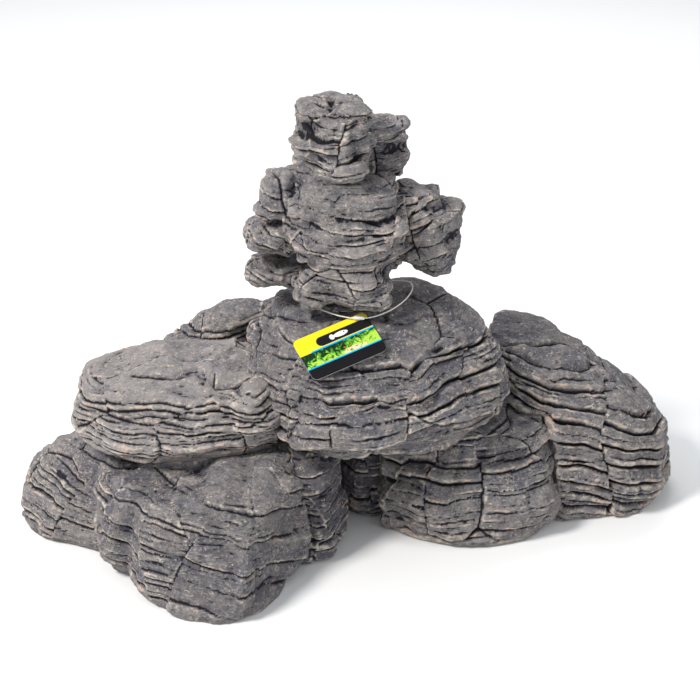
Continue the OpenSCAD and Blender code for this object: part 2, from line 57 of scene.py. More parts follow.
SCENE = bpy.context.scene

# The swing tag: the middle of its punched hole in mm, the slope it lies at and its turn on that slope,
# and the card's size and its hole's place from its lower left corner, in mm
HOLE = np.array([6.0, 2.0, 156.4])
SLOPE = math.radians(31.5)
TURN = math.radians(27)
CARD_W, CARD_H = 54.0, 34.0
CARD_HOLE = (48.0, 30.0)
UP_SLOPE = np.array([0, math.cos(SLOPE), math.sin(SLOPE)])
OFF_SLOPE = np.array([0, -math.sin(SLOPE), math.cos(SLOPE)])


# ---- Camera ----
def look_at(obj, target):
    obj.rotation_euler = (Vector(target) - obj.location).to_track_quat("-Z", "Y").to_euler()


camera = bpy.data.objects.new("camera", bpy.data.cameras.new("camera"))
SCENE.collection.objects.link(camera)
camera.data.lens = 85
camera.data.sensor_width = 36
camera.data.clip_end = 60
camera.location = (0, -1.0033, 0.6038)
look_at(camera, (0, 0, 0.136))
SCENE.camera = camera


# ---- Node helpers ----
class Nodes:
    """Short calls for building one material's node tree."""

    def __init__(self, name, roughness, specular=0.3):
        self.material = bpy.data.materials.new(name)
        self.material.use_nodes = True
        self.tree = self.material.node_tree
        self.tree.nodes.clear()
        self.shader = self.tree.nodes.new("ShaderNodeBsdfPrincipled")
        out = self.tree.nodes.new("ShaderNodeOutputMaterial")
        self.tree.links.new(self.shader.outputs[0], out.inputs[0])
        self.shader.inputs["Roughness"].default_value = roughness
        self.shader.inputs["Specular IOR Level"].default_value = specular
        self.place = self.tree.nodes.new("ShaderNodeTexCoord").outputs["Object"]

    def put(self, socket, value):
        if isinstance(value, bpy.types.NodeSocket):
            self.tree.links.new(value, socket)
        elif value is not None:
            socket.default_value = value

    def math(self, kind, a, b=None, clamp=False):
        node = self.tree.nodes.new("ShaderNodeMath")
        node.operation = kind
        node.use_clamp = clamp
        for socket, value in zip(node.inputs, (a, b)):
            self.put(socket, value)
        return node.outputs[0]

    def times(self, a, b):
        return self.math("MULTIPLY", a, b)

    def vector(self, kind, a, b=None, out=0):
        node = self.tree.nodes.new("ShaderNodeVectorMath")
        node.operation = kind
        self.put(node.inputs[0], a)
        if b is not None:
            self.put(node.inputs[3 if kind == "SCALE" else 1], b)
        return node.outputs[out]

    def ramp(self, value, low, high, to_low=0.0, to_high=1.0):
        node = self.tree.nodes.new("ShaderNodeMapRange")
        node.interpolation_type = "SMOOTHSTEP"
        for socket, given in zip(node.inputs, (value, low, high, to_low, to_high)):
            self.put(socket, given)
        return node.outputs[0]

    def mix(self, share, a, b):
        node = self.tree.nodes.new("ShaderNodeMix")
        node.data_type = "RGBA"
        node.clamp_factor = True
        self.put(node.inputs[0], share)
        self.put(node.inputs[6], a)
        self.put(node.inputs[7], b)
        return node.outputs[2]

    def noise(self, size, detail=2.0, distortion=0.0, place=None, roughness=0.55):
        """Noise whose features are about size millimetres across."""
        node = self.tree.nodes.new("ShaderNodeTexNoise")
        self.put(node.inputs["Vector"], place or self.place)
        node.inputs["Scale"].default_value = 1 / (size * MM)
        node.inputs["Detail"].default_value = detail
        node.inputs["Roughness"].default_value = roughness
        node.inputs["Distortion"].default_value = distortion
        return node.outputs[0]

    def attribute(self, name):
        node = self.tree.nodes.new("ShaderNodeAttribute")
        node.attribute_name = name
        return node.outputs["Fac"]

    def strokes(self, size, width, length):
        """Short curved marks, mostly level, one in each random cell of about size millimetres, as a mask."""
        cell = self.tree.nodes.new("ShaderNodeTexVoronoi")
        cell.inputs["Scale"].default_value = 1 / (size * MM)
        self.put(cell.inputs["Vector"], self.place)
        here = self.vector("SCALE", self.place, 1 / (size * MM))
        away = self.vector("SUBTRACT", here, cell.outputs["Position"])
        way = self.vector("SUBTRACT", cell.outputs["Color"], (0.5, 0.5, 0.5))
        way = self.vector("NORMALIZE", self.vector("MULTIPLY", way, (1.0, 1.0, 1.7)))
        far = self.vector("LENGTH", away, out=1)
        curve = self.times(self.times(far, far), 0.7)
        across = self.math("ADD", self.vector("DOT_PRODUCT", away, way, out=1), curve)
        thin = self.ramp(self.math("ABSOLUTE", across), width / size * 0.25, width / size * 0.6, 1.0, 0.0)
        short = self.ramp(far, length / size * 0.35, length / size * 0.5, 1.0, 0.0)
        return self.times(thin, short)

    def bump(self, height, strength, distance):
        node = self.tree.nodes.new("ShaderNodeBump")
        node.inputs["Strength"].default_value = strength
        node.inputs["Distance"].default_value = distance * MM
        self.put(node.inputs["Height"], height)
        return node.outputs[0]

    def finish(self, colour, normal=None, roughness=None):
        self.put(self.shader.inputs["Base Color"], colour)
        self.put(self.shader.inputs["Normal"], normal)
        self.put(self.shader.inputs["Roughness"], roughness)
        return self.material


def rock_material():
    """Painted slate, from the attributes that each rock's mesh carries: edge and hollow for how its surface
    bends, and a third for painted shade in broad hollows and painted light on the lighter stones.
    """
    n = Nodes("painted_rock", 0.8, 0.25)
    edge, hollow, painted_light_shade = n.attribute("edge"), n.attribute("hollow"), n.attribute("painted_light_shade")
    grain, fine = n.noise(2.2, 6, 0.8, roughness=0.7), n.noise(0.9, 3)
    # slate body colour under a warm dust on the open faces
    body = n.mix(n.ramp(n.noise(42, 3), 0.36, 0.64), (0.15, 0.147, 0.17, 1), (0.225, 0.212, 0.214, 1))
    dust = n.times(n.ramp(n.noise(12, 4), 0.42, 0.68), 0.6)
    body = n.mix(dust, body, (0.34, 0.308, 0.288, 1))
    body = n.mix(n.ramp(grain, 0.3, 0.5, 0.85, 0.0), body, (0.04, 0.038, 0.052, 1))
    body = n.mix(n.ramp(grain, 0.53, 0.68, 0.0, 0.85), body, (0.55, 0.5, 0.46, 1))
    # faces where fine level striae show
    grooved = n.ramp(n.noise(30, 2), 0.38, 0.55)
    striae = n.noise(2.0, 4, 0.6, n.vector("MULTIPLY", n.place, (0.3, 0.3, 1.5)), 0.65)
    body = n.mix(n.times(n.ramp(striae, 0.3, 0.47, 0.75, 0.0), grooved), body, (0.04, 0.038, 0.05, 1))
    body = n.mix(n.times(n.ramp(striae, 0.55, 0.68, 0.0, 0.7), grooved), body, (0.5, 0.45, 0.4, 1))
    # painted shade, darkening the broad hollows
    body = n.mix(n.ramp(painted_light_shade, 0.0, 1.0, 0.6, 0.0), body, (0.07, 0.068, 0.085, 1))
    body = n.mix(n.ramp(edge, 0.1, 0.7, 0.0, 0.4), body, (0.42, 0.385, 0.365, 1))
    # painted light: lighter still on the stones painted lighter than the others
    body = n.mix(n.ramp(painted_light_shade, 1.0, 1.8, 0.0, 0.45), body, (0.46, 0.42, 0.4, 1))
    # painted shade: creases and undercuts darkened almost to black
    body = n.mix(n.ramp(hollow, 0.08, 0.75, 0.0, 0.95), body, (0.012, 0.011, 0.018, 1))
    # dry-brushed highlights: lips of the beds, thin curly lines, specks and short marks
    cream = n.mix(n.ramp(n.noise(16, 2), 0.42, 0.62), (0.86, 0.76, 0.63, 1), (0.88, 0.64, 0.5, 1))
    rubbed = n.times(n.ramp(edge, 0.45, 0.9), n.ramp(n.noise(6, 3), 0.44, 0.58))
    specks = n.times(n.ramp(n.noise(1.7, 2), 0.6, 0.68), n.ramp(n.noise(15, 3), 0.5, 0.66))
    squat = n.vector("MULTIPLY", n.place, (0.55, 0.55, 1.25))
    line = n.math("ABSOLUTE", n.math("SUBTRACT", n.noise(6.5, 2, 1.6, squat), 0.5))
    curl = n.times(n.ramp(line, 0.006, 0.02, 1.0, 0.0), n.ramp(n.noise(6.5, 2), 0.54, 0.6))
    marks = n.math("MAXIMUM", n.strokes(9.0, 1.25, 13.0), n.times(n.strokes(5.5, 1.0, 7.0), 0.9))
    marks = n.times(marks, n.ramp(n.noise(20, 3), 0.4, 0.54, 0.15, 1.0))
    marks = n.math("MAXIMUM", marks, n.times(curl, 0.85))
    marks = n.math("MAXIMUM", marks, n.times(specks, 0.75))
    marks = n.times(marks, n.ramp(hollow, 0.12, 0.45, 1.0, 0.0))
    marks = n.times(marks, n.ramp(fine, 0.3, 0.42, 0.55, 1.0))
    light = n.math("MAXIMUM", n.times(rubbed, 0.6), n.times(marks, 0.9), clamp=True)
    relief = n.math("ADD", grain, n.times(fine, 0.25))
    relief = n.math("ADD", relief, n.times(n.times(striae, grooved), 0.9))
    relief = n.math("ADD", relief, n.times(marks, 0.25))
    return n.finish(n.mix(light, body, cream), n.bump(relief, 1.0, 1.9), n.ramp(grain, 0.3, 0.7, 0.88, 0.72))


def plain_material(name, dark, light, size, roughness, specular=0.3, relief=0.25):
    """A slightly mottled finish with spots of about size millimetres."""
    n = Nodes(name, roughness, specular)
    spots = n.noise(size, 4)
    colour = n.mix(n.ramp(spots, 0.35, 0.65), dark, light)
    return n.finish(colour, n.bump(n.noise(size * 0.3, 3), 0.5, relief))


# ---- Noise in numpy; p is points in mm ----
def lattice(i, seed):
    """A random whole number for each cell number."""
    h = i[:, 0].astype(np.uint32) * np.uint32(0x9E3779B1)
    h ^= i[:, 1].astype(np.uint32) * np.uint32(0x85EBCA77)
    h ^= i[:, 2].astype(np.uint32) * np.uint32(0xC2B2AE3D)
    h ^= np.uint32((seed * 0x27D4EB2F + 0x165667B1) & 0xFFFFFFFF)
    for shift, factor in ((15, 0x2C1B3C6D), (12, 0x297A2D39)):
        h ^= h >> np.uint32(shift)
        h *= np.uint32(factor)
    return h ^ (h >> np.uint32(15))


def unit_vectors(count, seed):
    v = np.random.RandomState(seed).normal(size=(count, 3))
    return v / np.linalg.norm(v, axis=1)[:, None]


SLANTS = unit_vectors(256, 7)


def noise(p, size, seed):
    """Gradient noise, about -0.7 to 0.7."""
    q = p / size
    cell = np.floor(q).astype(np.int64)
    f = q - cell
    u = f * f * f * (f * (f * 6 - 15) + 10)
    total = np.zeros(len(p))
    for corner in np.ndindex(2, 2, 2):
        c = np.array(corner)
        slant = SLANTS[lattice(cell + c, seed) & 255]
        weight = np.prod(np.where(c, u, 1 - u), axis=1)
        total += weight * np.sum(slant * (f - c), axis=1)
    return total


def cells(p, size, seed):
    """Distance to the nearest and second nearest random cell point, in mm, and the nearest's number."""
    q = p / size
    base = np.floor(q).astype(np.int64)
    first, second = np.full(len(p), 9.0), np.full(len(p), 9.0)
    who = np.zeros(len(p), np.uint32)
    for corner in np.ndindex(3, 3, 3):
        cell = base + np.array(corner) - 1
        h = lattice(cell, seed)
        jitter = np.stack([(h >> np.uint32(s)) & np.uint32(1023) for s in (0, 10, 20)], 1) / 1023.0
        d = np.linalg.norm(q - cell - 0.1 - 0.8 * jitter, axis=1)
        nearer = d < first
        second = np.where(nearer, first, np.minimum(second, d))
        who = np.where(nearer, h, who)
        first = np.minimum(first, d)
    return first * size, second * size, who


def step(x, low, high):
    """0 below low, 1 above high, and smooth between."""
    t = np.clip((x - low) / (high - low), 0, 1)
    return t * t * (3 - 2 * t)


def chance(numbers, seed):
    """A value from -1 to 1 for each whole number, always the same one."""
    whole = numbers.astype(np.int64)
    i = np.stack([whole, whole * 3 + 1, whole * 7 + 5], 1)
    return (lattice(i, seed) & np.uint32(4095)) / 2047.5 - 1


def wobble(p, size, seed):
    """Three noises, one for each axis."""
    return np.stack([noise(p, size, seed + k) for k in range(3)], 1)


# ---- Beds of rock ----
def bed_edges(seed, thin, thick):
    """Heights in mm of the edges between beds, from far below the stone to far above it."""
    rng = np.random.RandomState(seed)
    return np.cumsum(np.concatenate([[-420], rng.uniform(thin, thick, int(900 / thin))]))


def beds(p, s, seed, thin, thick, ledge, groove, wander=45.0, cover=0.0, soft=0.6):
    """Height of a pile of beds in mm: each stands out by its own amount over a broken, dark undercut."""
    edges = bed_edges(seed, thin, thick)
    upper = np.clip(np.searchsorted(edges, s), 1, len(edges) - 1)
    nearest = np.where(s - edges[upper - 1] < edges[upper] - s, upper - 1, upper)
    gap = s - edges[nearest]
    t = 2 * (s - edges[upper - 1]) / (edges[upper] - edges[upper - 1]) - 1

    def face(bed):
        shift = np.stack([bed * 37.7, bed * 11.3, bed * 23.9], 1)
        return ledge * (1.9 * noise(p + shift, wander, seed + 3) + 0.5 * chance(bed, seed + 5))

    share = step(gap, -soft, soft)
    height = face(nearest - 1) * (1 - share) + face(nearest) * share
    height += -0.3 * groove * np.abs(t) ** 5 - 0.4 * ledge * t * (0.7 + chance(upper, seed + 7))
    open_share = step(noise(p + nearest[:, None] * 19.1, 30, seed + 6) + 0.25 * chance(nearest, seed + 8),
                      -cover, 0.22 - cover)
    return height - groove * open_share * np.exp(-(((gap + 0.25) / (soft + 0.25)) ** 2))


# ---- Mesh helpers ----
class Skin:
    """A mesh as arrays, in mm."""

    def __init__(self, mesh):
        self.mesh = mesh
        self.co = np.empty(len(mesh.vertices) * 3, np.float32)
        mesh.vertices.foreach_get("co", self.co)
        self.co = self.co.reshape(-1, 3).astype(float) / MM
        pairs = np.empty(len(mesh.edges) * 2, np.int32)
        mesh.edges.foreach_get("vertices", pairs)
        self.a, self.b = pairs[0::2], pairs[1::2]
        count = np.bincount(self.a, minlength=len(self.co)) + np.bincount(self.b, minlength=len(self.co))
        self.count = np.maximum(count, 1)

    def spread(self, values):
        """Each vertex's mean of its neighbours' values."""
        flat = values.reshape(len(self.co), -1)
        out = np.empty_like(flat)
        for k in range(flat.shape[1]):
            out[:, k] = np.bincount(self.a, flat[self.b, k], len(flat))
            out[:, k] += np.bincount(self.b, flat[self.a, k], len(flat))
        return (out / self.count[:, None]).reshape(values.shape)

    def smooth(self, values, times, share=0.6):
        for _ in range(times):
            values = values + share * (self.spread(values) - values)
        return values

    def write(self):
        self.mesh.vertices.foreach_set("co", (self.co * MM).astype(np.float32).ravel())
        self.mesh.update()

    def normals(self):
        self.write()
        n = np.empty(len(self.co) * 3, np.float32)
        self.mesh.vertex_normals.foreach_get("vector", n)
        return n.reshape(-1, 3).astype(float)

    def store(self, name, values):
        layer = self.mesh.attributes.new(name, "FLOAT", "POINT")
        layer.data.foreach_set("value", values.astype(np.float32))


def line_distance(p, points):
    """Distance from each of p to the line through the points, in mm."""
    best = np.full(len(p), 1e9)
    points = np.array(points, float)
    for a, b in zip(points[:-1], points[1:]):
        t = np.clip((p - a) @ (b - a) / ((b - a) @ (b - a)), 0, 1)
        best = np.minimum(best, np.linalg.norm(p - a - t[:, None] * (b - a), axis=1))
    return best


# ---- The stones ----
# Levels and upright planes that stones are parted at, each plane as (point, direction it faces), in mm;
# the rock is carried a little past them, so that neighbours close up into a tight crevice
LEVELS = [72.0, 73.5, 159.5, 161.0, 199.0, 200.5, 243.5, 245.0]
PLANES = [
    ((-150, -55), 145), ((-34, -50), 10), ((-112, 30), 90), ((24, 24), 0), ((140, 40), 25),
    ((-62, 0), 0), ((-96, 64), 90), ((-66, 88), 0), ((18, 68), 90), ((-33, 26), 180),
    ((-41, 28), 180), ((33, 46), 0), ((4, 40), 37),
]


def ring(x, y, z, radius, points=12, squeeze=0.8):
    """Points round a level oval, for a given ridge."""
    turns = [2 * math.pi * k / points for k in range(points + 1)]
    return [(x + radius * math.cos(turn), y + squeeze * radius * math.sin(turn), z) for turn in turns]


# How a stone is carved; lengths are in mm, and each stone also has a seed
BASE = dict(
    voxel=1.0,                              # size of the cells that it is remeshed with
    stack=2.0, side=4.0,                    # how far it is carried past level and upright joints
    lobes=[],                               # rounded lobes joined to it: (middle, radii, turn in degrees)
    grow=1.6,                               # how far it swells before it is carved
    cuts=[], random_cuts=7, cut_depth=4.5,  # flat faces as (direction, depth), and more of them at random
    shapes=[],                              # relief given one by one: (line of points, radius, move)
    lumps=4.0, lobe=36.0,                   # height and width of the billows over it
    dip=(0, 0), bowl=0.0, fold=5.0,         # its beds' slope along x and y, their curve and their folds
    region=52.0, tilt=0.1, fault=6.0,       # size of its broken blocks, and how their beds tilt and shift
    coarse=(13, 25, 3.0, 3.4), bold=0.1,    # bold beds: thinnest, thickest, ledge, groove; how open they are
    thin=5, thick=10, ledge=1.3, groove=1.9, cover=-0.05,   # the same for the finer beds
    wander=32.0,                            # width of the swells along a bed
    fine=0.8,                               # strength of the thin laminae
    quiet=0.0,                              # how much of it stays calm, with weaker beds
    rise=5.5,                               # furthest that its relief stands out
    painted_lightness=0.0,                               # how much lighter it is painted than the others: painted light, and painted shade below 0
)
SPIRE = dict(
    BASE, seed=149, voxel=0.8, stack=4.0, grow=-1.5, random_cuts=3, cut_depth=3.0, lobe=24.0, bowl=0.004,
    region=34.0, tilt=0.16, coarse=(9, 18, 2.2, 3.0), bold=0.05, thin=4, thick=9, ledge=1.0, groove=1.5,
    cover=-0.15, wander=22.0, rise=6.0, painted_lightness=0.5)
STONES = {
    "left_front_stone": dict(
        BASE, seed=11, dip=(0.2, 0.1), lumps=4.5, tilt=0.08, fault=4.0, quiet=0.05,
        lobes=[((-146, -50, 34), (26, 24, 36), 20), ((-40, -58, 38), (14, 14, 30), 0)],
        cuts=[((-0.3, -0.9, 0.25), 9), ((0.85, -0.55, 0.1), 9), ((0.1, -0.6, 0.8), 6)],
        shapes=[([(-124, -59, 69), (-110, -66, 68)], 16, (2, 3, -4)),
                ([(-68, -99, 58), (-68, -117, 15)], 7, (0, -4, 0)),
                ([(-115, -47, 81), (-100, -47, 76)], 9, (0, 0, -6)),
                ([(-52, -49, 71), (-65, -70, 68)], 7, (0, -2, 3))]),
    "left_end_stone": dict(
        BASE, seed=11, painted_lightness=0.4, dip=(0.12, 0.1), quiet=0.3,
        cuts=[((-0.2, -0.3, 0.9), 4), ((-0.8, -0.4, 0.3), 5)],
        shapes=[([(-176, -24, 52), (-165, -30, 52)], 18, (3, 3, -5))]),
    "cave_pillar_stone": dict(
        BASE, seed=37, painted_lightness=-0.9, dip=(-0.1, 0), lumps=5.0, lobe=28.0, coarse=(10, 18, 2.0, 2.6),
        shapes=[([(-20, -52, 18), (-18, -45, 40)], 12, (2, -4, 0))]),
    "cave_sill_stone": dict(BASE, seed=41, painted_lightness=-0.8, coarse=(10, 18, 2.0, 2.6)),
    "right_front_stone": dict(
        BASE, seed=53, painted_lightness=0.35, dip=(-0.06, 0), cover=-0.2, quiet=0.1, lumps=5.0, tilt=0.08, fine=1.1,
        coarse=(10, 20, 2.4, 2.8),
        cuts=[((0.1, -0.95, 0.2), 4)],
        shapes=[([(110, -12, 60), (116, -14, 48)], 12, (-2, 5, -2)),
                ([(89, -19, 60), (88, -22, 12)], 3, (0, 4, 0)),
                ([(62, -26, 35), (48, -28, 30)], 9, (0, -3, 0))]),
    "right_end_stone": dict(
        BASE, seed=67, dip=(0.22, 0), lumps=2.8, fold=3.5, side=10.0, tilt=0.03, fault=1.5, region=80.0,
        quiet=-0.6, coarse=(8, 14, 2.8, 4.6), bold=0.4,
        cuts=[((0.2, -0.35, 0.9), 5), ((0.6, 0.1, 0.8), 5)],
        shapes=[([(118, 50, 106), (124, 60, 108)], 9, (-2, -2, 5)),
                ([(205, 12, 62), (208, 8, 20)], 3, (-2, 4, 0))]),
    "rear_left_stone": dict(BASE, seed=71, dip=(0.05, -0.05)),
    "rear_right_stone": dict(BASE, seed=83, dip=(-0.05, 0.05)),
    "left_roof_slab": dict(
        BASE, seed=97, painted_lightness=0.85, dip=(0.03, 0), thin=3.5, thick=7, ledge=1.1, lumps=3.0, fold=3.0,
        side=14.0, tilt=0.03, fault=1.5, region=80.0, cover=0.15, quiet=-0.3, fine=1.4,
        coarse=(9, 19, 2.2, 2.6),
        lobes=[((-66, -20, 100), (20, 22, 19), 20), ((-60, -2, 110), (22, 26, 11), 0)],
        shapes=[([(-99, 22, 119), (-97, 24, 122)], 6, (0, 0, 5)),
                ([(-79, 34, 118), (-79, 36, 121)], 6, (0, 0, 5)),
                (ring(-99, 22, 120, 13), 3.2, (0, 0, 4)),
                (ring(-79, 34, 119, 13), 3.2, (0, 0, 4)),
                ([(-138, 31, 123), (-124, 22, 122)], 8, (0, 0, 3))]),
    "right_roof_slab": dict(
        BASE, seed=101, dip=(-0.06, 0), ledge=1.4, lumps=4.2, fold=4.0, tilt=0.025, fault=2.5, region=50.0,
        coarse=(10, 20, 3.6, 4.6), bold=0.12, cover=-0.25, quiet=0.1,
        shapes=[([(28, -3, 160), (38, 3, 163)], 5, (0, -1, 5)),
                ([(58, -24, 136), (44, -10, 138)], 8, (0, -2, 4)),
                ([(60, -8, 142), (38, -28, 128)], 3, (0, 3, -4)),
                ([(-36, -44, 91), (-61, -15, 106)], 5, (0, 3, -5)),
                ([(71, 9, 148), (60, 20, 150)], 9, (2, 0, 3))]),
    "rear_left_ridge_stone": dict(BASE, seed=113, dip=(-0.15, 0)),
    "rear_lintel_stone": dict(BASE, seed=127, dip=(0.06, 0)),
    "spire_foot_stone": dict(
        SPIRE,
        lobes=[((12, 5, 176.5), (19, 17, 16.5), 0), ((-25, 8, 177), (14, 15, 17), 15),
               ((-8, 12, 192), (24, 20, 9), 0), ((-5, 9, 173), (14, 13, 10), 0),
               ((20, 44, 186), (16, 22, 14), 0), ((-14, 50, 184), (18, 20, 14), 0)]),
    "spire_body_stone": dict(
        SPIRE,
        lobes=[((-12, 17, 233), (29, 21, 14), 0), ((-6, 13, 210), (34, 24, 11), 0),
               ((20, 12, 218), (14, 18, 12), 30), ((-28, 10, 214), (15, 14, 9), -20),
               ((-12, 15, 247), (25, 14, 7), 0), ((14, 30, 246), (16, 18, 6), 0),
               ((4, 50, 226), (30, 21, 15), 0), ((-20, 46, 214), (22, 20, 13), 0)]),
    "spire_peak_stone": dict(
        SPIRE,
        lobes=[((-24, 24, 293.5), (16, 17, 9), 10), ((2, 24, 292), (15, 17, 11), -10),
               ((-21, 19, 273), (21, 17, 11), 0), ((-7, 16, 258), (20, 15, 12), 0),
               ((-16, 36, 264), (22, 18, 16), 0)],
        shapes=[([(-13, 32, 304), (-11, 12, 302)], 3.2, (0, 0, -7)),
                ([(3, 8, 288), (6, 12, 258)], 4, (-1, 4, 0))]),
    "spire_rear_knob": dict(
        SPIRE, side=8.0,
        lobes=[((22, 47, 275), (21, 18, 11), 0), ((28, 46, 258), (15, 16, 8), 0),
               ((14, 60, 264), (16, 14, 14), 0)]),
    "spire_right_wing": dict(
        SPIRE, side=13.0, dip=(-0.1, 0),
        lobes=[((48, 42, 232), (16, 17, 9), 0), ((62, 42, 216), (17.5, 20, 12), 0),
               ((60, 40, 193), (18, 20, 15), 0), ((66, 58, 204), (13, 17, 18), 0),
               ((44, 38, 206), (14, 15, 11), 0)]),
    "spire_low_fin": dict(
        SPIRE, side=14.0,
        lobes=[((-53, 20, 183), (18, 14, 9), 0), ((-50, 40, 182), (18, 16, 9), 0)]),
    "spire_middle_fin": dict(
        SPIRE, side=15.0, dip=(0.2, 0),
        lobes=[((-56, 20, 205), (15, 14, 8), 0), ((-54, 40, 206), (16, 17, 10), 0),
               ((-46, 16, 213), (12, 12, 6), 0)]),
    "spire_shoulder": dict(
        SPIRE, side=15.0,
        lobes=[((-46, 30, 241), (13, 15, 14), 0), ((-54, 26, 227), (11.5, 14, 7), 0),
               ((-50, 44, 236), (13, 15, 15), 0)]),
}


def plane_away(co, point, turn):
    """An upright plane's direction, and how far each point lies from it on the side it faces."""
    way = np.array([math.cos(math.radians(turn)), math.sin(math.radians(turn)), 0])
    return way, (co - np.array([*point, 0])) @ way


def carry_past_joints(co, look, half_gap=0.3):
    """Moves the vertices on each cut face outwards, into the neighbouring stone."""
    middle = (co.min(0) + co.max(0)) / 2
    for level in LEVELS:
        on = np.abs(co[:, 2] - level) < 0.05
        co[on, 2] += look["stack"] * np.sign(level - middle[2])
    for point, turn in PLANES:
        way, away = plane_away(co, point, turn)
        on = np.abs(np.abs(away) - half_gap) < 0.02
        if on.sum() > 8:
            outwards = 1 if np.median(away) < 0 else -1
            co[on] += outwards * look["side"] * way
    return co


def add_lobes(mesh, lobes):
    """Adds blocky rounded lobes as closed shells, each (middle, radii, turn in degrees)."""
    rock = bmesh.new()
    rock.from_mesh(mesh)
    for middle, radii, turn in lobes:
        made = bmesh.ops.create_icosphere(rock, subdivisions=4, radius=1)["verts"]
        spin = Matrix.Rotation(math.radians(turn), 3, "Z")
        for v in made:
            blocky = Vector([math.copysign(abs(c) ** 0.75, c) for c in v.co])
            v.co = (Vector(middle) + spin @ Vector([c * r for c, r in zip(blocky, radii)])) * MM
    rock.to_mesh(mesh)
    rock.free()


def remeshed(node, look):
    """The stone, carried past its joints and remeshed evenly with its lobes, and a tree of its CAD walls."""
    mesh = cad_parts[node].data.copy()
    mesh.materials.clear()
    skin = Skin(mesh)
    skin.co = carry_past_joints(skin.co, look)
    skin.write()
    obj = bpy.data.objects.new("scratch", mesh)
    SCENE.collection.objects.link(obj)
    tree = BVHTree.FromObject(obj, bpy.context.evaluated_depsgraph_get())
    add_lobes(mesh, look["lobes"])
    voxels = obj.modifiers.new("voxels", "REMESH")
    voxels.mode = "VOXEL"
    voxels.voxel_size = look["voxel"] * MM
    graph = bpy.context.evaluated_depsgraph_get()
    made = bpy.data.meshes.new_from_object(obj.evaluated_get(graph))
    bpy.data.objects.remove(obj)
    return made, tree


def inside_share(skin, normals, tree, start=1.5, reach=110):
    """1 on the walls of hollows and bores, where a line along the normal meets the same stone again."""
    hit = np.zeros(len(skin.co))
    for k, (p, n) in enumerate(zip(skin.co * MM, normals)):
        found = tree.ray_cast(Vector(p) + Vector(n) * start * MM, Vector(n), reach * MM)
        hit[k] = found[0] is not None
    return skin.smooth(hit, 3)


def covered(co, node, reach=6.0, against=1.2):
    """1 where a point lies in another stone or against it."""
    others = bmesh.new()
    for other in STONES:
        if other != node:
            others.from_mesh(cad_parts[other].data)
    tree = BVHTree.FromBMesh(others)
    others.free()
    share = np.zeros(len(co))
    for k, p in enumerate(co * MM):
        place, normal, _, far = tree.find_nearest(Vector(p), reach * MM)
        share[k] = place is not None and (far < against * MM or (Vector(p) - place).dot(normal) < 0)
    return share


def on_cut_faces(co, normals, look, node):
    """1 on the level and upright faces that stones are joined at, and underneath."""
    share = np.zeros(len(co))
    for level in LEVELS + [0.0]:
        close = np.abs(co[:, 2] - level) < look["stack"] + 1
        share = np.maximum(share, close * step(np.abs(normals[:, 2]), 0.75, 0.95))
    for point, turn in PLANES:
        way, away = plane_away(co, point, turn)
        close = np.abs(away) < look["side"] + 1
        share = np.maximum(share, close * step(np.abs(normals @ way), 0.85, 0.97))
    on = (share > 0.05) & (co[:, 2] > 2)
    share[on] *= covered(co[on], node)
    return share


def soft_over(x, soft):
    """x where it is above 0, and 0 below, with a soft bend between."""
    return soft * np.log1p(np.exp(np.clip(x / soft, -30, 30)))


def planed(co, look, soft=0.9):
    """Cuts flat faces on the stone, each as deep as given below its furthest point that way."""
    rng = np.random.RandomState(look["seed"] + int(abs(co[:, 0].mean())))
    cuts = list(look["cuts"])
    for _ in range(look["random_cuts"]):
        way = rng.normal(size=3) * np.array([1, 1, 0.7]) + np.array([0, -0.2, 0.25])
        cuts.append((tuple(way), look["cut_depth"] * rng.uniform(0.5, 1.3)))
    for way, depth in cuts:
        n = np.array(way, float)
        n /= np.linalg.norm(n)
        over = co @ n - np.max(co @ n) + depth
        co = co - soft_over(over, soft)[:, None] * n
    return co


def shaped(co, look):
    """Bumps and dents given one by one: each is (points, radius, move) and fades away from its line."""
    moved = np.zeros(co.shape)
    co = co + 3 * wobble(co, 13, 5)
    for points, radius, move in look["shapes"]:
        moved += np.exp(-((line_distance(co, points) / radius) ** 2))[:, None] * np.array(move, float)
    return moved


def bed_height(co, look, part):
    """Where each point lies in the pile of beds, in mm, tilted, shifted and folded with the stone."""
    seed = look["seed"]
    s = co @ np.array([*look["dip"], 1.0])
    s += look["tilt"] * (chance(part, seed + 55) * co[:, 0] + chance(part, seed + 56) * co[:, 1])
    s += look["fault"] * chance(part, seed + 57) - look["bowl"] * co[:, 0] ** 2
    s += look["fold"] * 1.8 * noise(co, 105, seed) + 5.0 * noise(co, 40, seed + 1)
    s += 1.8 * noise(co, 14, seed + 2)
    chip = cells(co * np.array([1, 1, 0.45]), 14, seed + 58)[2]
    return s + 0.5 * chance(chip & np.uint32(0xFFFF), seed + 59) + 0.5 * noise(co, 5, seed + 3)


